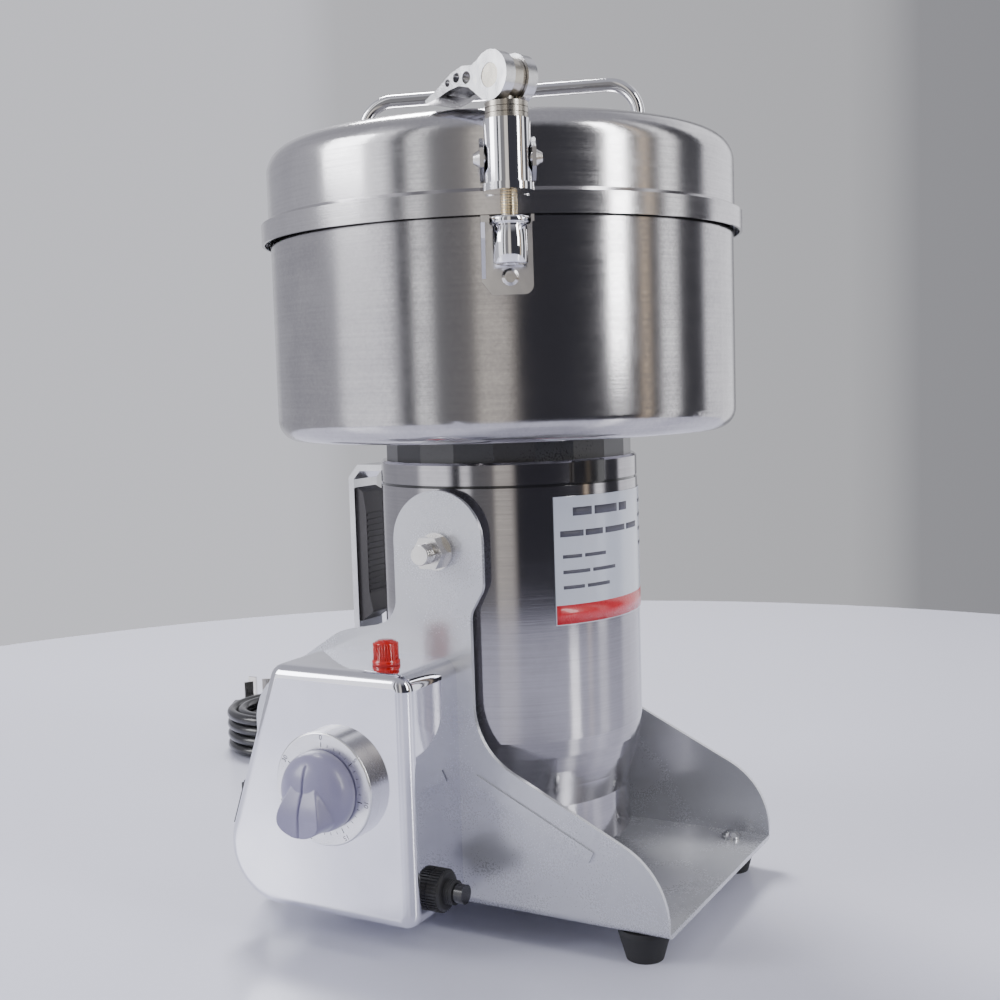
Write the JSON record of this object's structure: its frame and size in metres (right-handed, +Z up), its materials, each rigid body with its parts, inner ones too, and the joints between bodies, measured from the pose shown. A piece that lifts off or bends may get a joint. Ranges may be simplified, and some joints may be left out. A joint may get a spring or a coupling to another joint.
{
  "type": "swing-type grain grinder",
  "caption": "Countertop high-speed grain grinder: clamped lidded bowl on a tube motor that tips in a folded base, with side control box and mains cord.",
  "frame": {"origin": "centre of the machine's outer box at the level of the feet, without its cord", "axes": "+Z up the motor shaft, -Y towards the control box, +X the way the bowl tips"},
  "size_m": [0.4403, 0.3509, 0.3687],
  "materials": {
    "base_paint": "glossy light silver-grey paint on folded steel",
    "foot_rubber": "matt black rubber",
    "screw_steel": "zinc-plated screws",
    "box_chrome": "bright polished stainless sheet",
    "black_plastic": "black moulded plastic, lightly grained",
    "black_rocker": "glossy black plastic",
    "dial_chrome": "chromed dial ring with a satin face",
    "knob_plastic": "silver-grey lacquered plastic",
    "pale_plastic": "ivory timer case",
    "red_lens": "translucent red ribbed lens",
    "plated_steel": "nickel-plated steel",
    "polished_tube": "polished stainless tube",
    "core_steel": "varnished laminations",
    "copper_wire": "enamelled copper",
    "cast_aluminium": "die-cast aluminium",
    "blade_steel": "ground stainless",
    "neck_rubber": "glossy black rubber",
    "seat_black": "black faceted collar",
    "label_film": "printed film with a red band",
    "handle_steel": "polished steel strap",
    "grip_plastic": "dark moulded grip",
    "bowl_steel": "spun stainless, polished outside",
    "gasket_silicone": "white silicone",
    "lid_steel": "pressed stainless, polished outside",
    "rod_chrome": "polished round rod",
    "bracket_steel": "polished stainless sheet",
    "barrel_chrome": "chromed turned barrel",
    "rod_brass": "yellow zinc-plated threaded rod",
    "washer_steel": "spring steel washers",
    "ferrule_chrome": "chromed long nut",
    "lever_cast": "silver-painted cast lever",
    "pin_steel": "turned steel pin",
    "cord_black": "glossy black PVC",
    "tie_wire": "black plastic-coated wire",
    "plug_black": "moulded black PVC",
    "pin_brass": "nickel-plated brass"
  },
  "bodies": {
    "base": {"base_channel": "base_paint", "rubber_feet": "foot_rubber", "base_screws": "screw_steel", "control_box": "box_chrome", "switch_housing": "black_plastic", "timer_dial": "dial_chrome", "timer_body": "pale_plastic", "indicator_lamp": "red_lens", "overload_body": "black_plastic", "overload_nut": "black_plastic", "cord_gland": "cord_black", "cord_lead": "cord_black", "cord_coil": "cord_black", "cord_tie": "tie_wire", "plug_body": "plug_black", "plug_pins": "pin_brass"},
    "timer_control": {"timer_knob": "knob_plastic"},
    "rocker": {"switch_rocker": "black_rocker"},
    "reset": {"reset_button": "black_rocker"},
    "motor": {"pivot_trunnions": "plated_steel", "pivot_nuts": "plated_steel", "motor_tube": "polished_tube", "motor_bottom_cap": "black_plastic", "stator_core": "core_steel", "field_windings": "copper_wire", "motor_brackets": "cast_aluminium", "motor_bearings": "plated_steel", "brush_gear": "black_plastic", "neck_seal": "neck_rubber", "neck_band": "polished_tube", "seat_ring": "seat_black", "rating_label": "label_film", "tilt_handle": "handle_steel", "handle_grip": "grip_plastic", "bowl": "bowl_steel", "shaft_seal": "gasket_silicone", "bowl_hinge_leaf": "bracket_steel", "hinge_pin": "plated_steel", "catch_bracket": "bracket_steel", "bracket_screws": "plated_steel"},
    "rotor": {"rotor_core": "core_steel", "commutator": "copper_wire", "cooling_fan": "cast_aluminium", "motor_shaft": "blade_steel", "lower_blade": "blade_steel", "upper_blade": "blade_steel", "blade_spacers": "blade_steel", "blade_nut": "plated_steel"},
    "lid_body": {"lid": "lid_steel", "lid_gasket": "gasket_silicone", "lid_handle": "rod_chrome", "lid_hinge_leaf": "bracket_steel", "clamp_bracket": "bracket_steel", "swing_screws": "plated_steel"},
    "clamp": {"clamp_barrel": "barrel_chrome", "draw_rod": "rod_brass", "spring_washers": "washer_steel", "ferrule_nut": "ferrule_chrome", "cam_pin": "pin_steel"},
    "lever": {"cam_lever": "lever_cast"}
  },
  "joints": [
    {"name": "motor_tilt", "type": "hinge", "parent": "base", "child": "motor", "pos_m": [0, 0.01064, 0.1658], "axis": [0, 1, 0], "range_deg": [0, 90]},
    {"name": "rotor_spin", "type": "hinge", "parent": "motor", "child": "rotor", "pos_m": [0, 0.01064, 0.15], "axis": [0, 0, 1], "continuous": true},
    {"name": "lid_hinge", "type": "hinge", "parent": "motor", "child": "lid_body", "pos_m": [-0.056, 0.10764, 0.303], "axis": [-0.866, -0.5, 0], "range_deg": [0, 105]},
    {"name": "clamp_swing", "type": "hinge", "parent": "lid_body", "child": "clamp", "pos_m": [0.058, -0.08981, 0.318], "axis": [-0.866, -0.5, 0], "range_deg": [0, 10]},
    {"name": "cam_lever_turn", "type": "hinge", "parent": "clamp", "child": "lever", "pos_m": [0.058, -0.08981, 0.347], "axis": [0.3156, 0.9489, 0], "range_deg": [0, 150]},
    {"name": "timer_turn", "type": "hinge", "parent": "base", "child": "timer_control", "pos_m": [-0.0303, -0.09435, 0.0725], "axis": [0, 1, 0], "range_deg": [0, 300]},
    {"name": "power_rocker", "type": "hinge", "parent": "base", "child": "rocker", "pos_m": [-0.08391, -0.08085, 0.056], "axis": [0, 1, 0], "range_deg": [0, 16]},
    {"name": "reset_push", "type": "slide", "parent": "base", "child": "reset", "axis": [-1, 0, 0], "range_m": [0, 0.002], "stiffness_N_per_m": 400}
  ],
  "couplings": [
    {"joint": "clamp_swing", "follows": "cam_lever_turn", "ratio": 0.0666}
  ]
}
